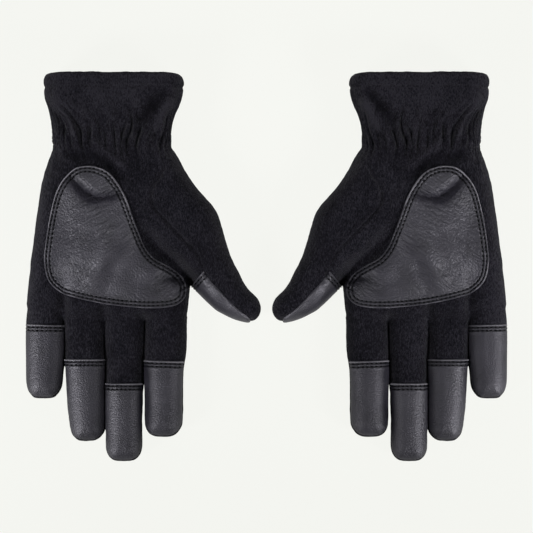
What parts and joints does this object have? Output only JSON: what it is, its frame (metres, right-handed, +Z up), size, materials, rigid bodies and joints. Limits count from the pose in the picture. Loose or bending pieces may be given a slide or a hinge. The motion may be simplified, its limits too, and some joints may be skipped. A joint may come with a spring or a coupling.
{
  "type": "gloves",
  "caption": "Pair of full-finger fleece gloves with leather palm, thumb and fingertip grips and an elastic wrist, lying palm up; each finger and thumb folds.",
  "frame": {"origin": "on the resting surface, under the middle of the pair: half way between the outer edges along X and half way between the cuff edges and the longest fingertips along Y", "axes": "+Z up out of the palms; +Y along the hands from the fingertips to the cuffs; +X across the pair, from the left-hand glove to the right-hand glove"},
  "size_m": [0.295, 0.24, 0.035],
  "materials": {
    "fleece": "brushed black fleece with a fine rib and a soft nap",
    "palm_leather": "dark grey pebbled leather, semi-matte",
    "finger_leather": "dark grey pebbled leather, semi-matte",
    "thread": "black sewing thread",
    "elastic": "black woven elastic"
  },
  "bodies": {
    "left_hand": {"left_palm_panel": "fleece", "left_back_panel": "fleece", "left_thumb_gusset": "fleece", "left_palm_leather": "palm_leather", "left_palm_stitch_outer": "thread", "left_palm_stitch_inner": "thread", "left_wrist_elastic": "elastic", "left_cuff_hem": "fleece"},
    "left_thumb": {"left_thumb_sleeve": "fleece", "left_thumb_leather": "finger_leather"},
    "left_index": {"left_index_front": "fleece", "left_index_back": "fleece", "left_index_strip_little_side": "fleece", "left_index_leather": "finger_leather"},
    "left_middle": {"left_middle_front": "fleece", "left_middle_back": "fleece", "left_middle_strip_thumb_side": "fleece", "left_middle_strip_little_side": "fleece", "left_middle_leather": "finger_leather"},
    "left_ring": {"left_ring_front": "fleece", "left_ring_back": "fleece", "left_ring_strip_thumb_side": "fleece", "left_ring_strip_little_side": "fleece", "left_ring_leather": "finger_leather"},
    "left_little": {"left_little_front": "fleece", "left_little_back": "fleece", "left_little_strip_thumb_side": "fleece", "left_little_leather": "finger_leather"},
    "right_hand": {"right_palm_panel": "fleece", "right_back_panel": "fleece", "right_thumb_gusset": "fleece", "right_palm_leather": "palm_leather", "right_palm_stitch_outer": "thread", "right_palm_stitch_inner": "thread", "right_wrist_elastic": "elastic", "right_cuff_hem": "fleece"},
    "right_thumb": {"right_thumb_sleeve": "fleece", "right_thumb_leather": "finger_leather"},
    "right_index": {"right_index_front": "fleece", "right_index_back": "fleece", "right_index_strip_little_side": "fleece", "right_index_leather": "finger_leather"},
    "right_middle": {"right_middle_front": "fleece", "right_middle_back": "fleece", "right_middle_strip_thumb_side": "fleece", "right_middle_strip_little_side": "fleece", "right_middle_leather": "finger_leather"},
    "right_ring": {"right_ring_front": "fleece", "right_ring_back": "fleece", "right_ring_strip_thumb_side": "fleece", "right_ring_strip_little_side": "fleece", "right_ring_leather": "finger_leather"},
    "right_little": {"right_little_front": "fleece", "right_little_back": "fleece", "right_little_strip_thumb_side": "fleece", "right_little_leather": "finger_leather"}
  },
  "joints": [
    {"name": "left_thumb_fold", "type": "hinge", "parent": "left_hand", "child": "left_thumb", "pos_m": [-0.0287, -0.0081, 0.014], "axis": [-0.7431, -0.6691, 0], "range_deg": [0, 45]},
    {"name": "left_index_fold", "type": "hinge", "parent": "left_hand", "child": "left_index", "pos_m": [-0.0614, -0.0403, 0.014], "axis": [-0.9997, 0.0227, 0], "range_deg": [0, 75]},
    {"name": "left_middle_fold", "type": "hinge", "parent": "left_hand", "child": "left_middle", "pos_m": [-0.0876, -0.0403, 0.014], "axis": [-1, 0, 0], "range_deg": [0, 75]},
    {"name": "left_ring_fold", "type": "hinge", "parent": "left_hand", "child": "left_ring", "pos_m": [-0.1114, -0.0403, 0.014], "axis": [-0.9999, -0.0157, 0], "range_deg": [0, 75]},
    {"name": "left_little_fold", "type": "hinge", "parent": "left_hand", "child": "left_little", "pos_m": [-0.1363, -0.0329, 0.014], "axis": [-1, 0.0052, 0], "range_deg": [0, 75]},
    {"name": "right_thumb_fold", "type": "hinge", "parent": "right_hand", "child": "right_thumb", "pos_m": [0.0287, -0.0081, 0.014], "axis": [-0.7431, 0.6691, 0], "range_deg": [0, 45]},
    {"name": "right_index_fold", "type": "hinge", "parent": "right_hand", "child": "right_index", "pos_m": [0.0614, -0.0403, 0.014], "axis": [-0.9997, -0.0227, 0], "range_deg": [0, 75]},
    {"name": "right_middle_fold", "type": "hinge", "parent": "right_hand", "child": "right_middle", "pos_m": [0.0876, -0.0403, 0.014], "axis": [-1, 0, 0], "range_deg": [0, 75]},
    {"name": "right_ring_fold", "type": "hinge", "parent": "right_hand", "child": "right_ring", "pos_m": [0.1114, -0.0403, 0.014], "axis": [-0.9999, 0.0157, 0], "range_deg": [0, 75]},
    {"name": "right_little_fold", "type": "hinge", "parent": "right_hand", "child": "right_little", "pos_m": [0.1363, -0.0329, 0.014], "axis": [-1, -0.0052, 0], "range_deg": [0, 75]},
    {"name": "gloves_apart", "type": "slide", "parent": "left_hand", "child": "right_hand", "axis": [1, 0, 0], "range_m": [0, 0.15]}
  ]
}
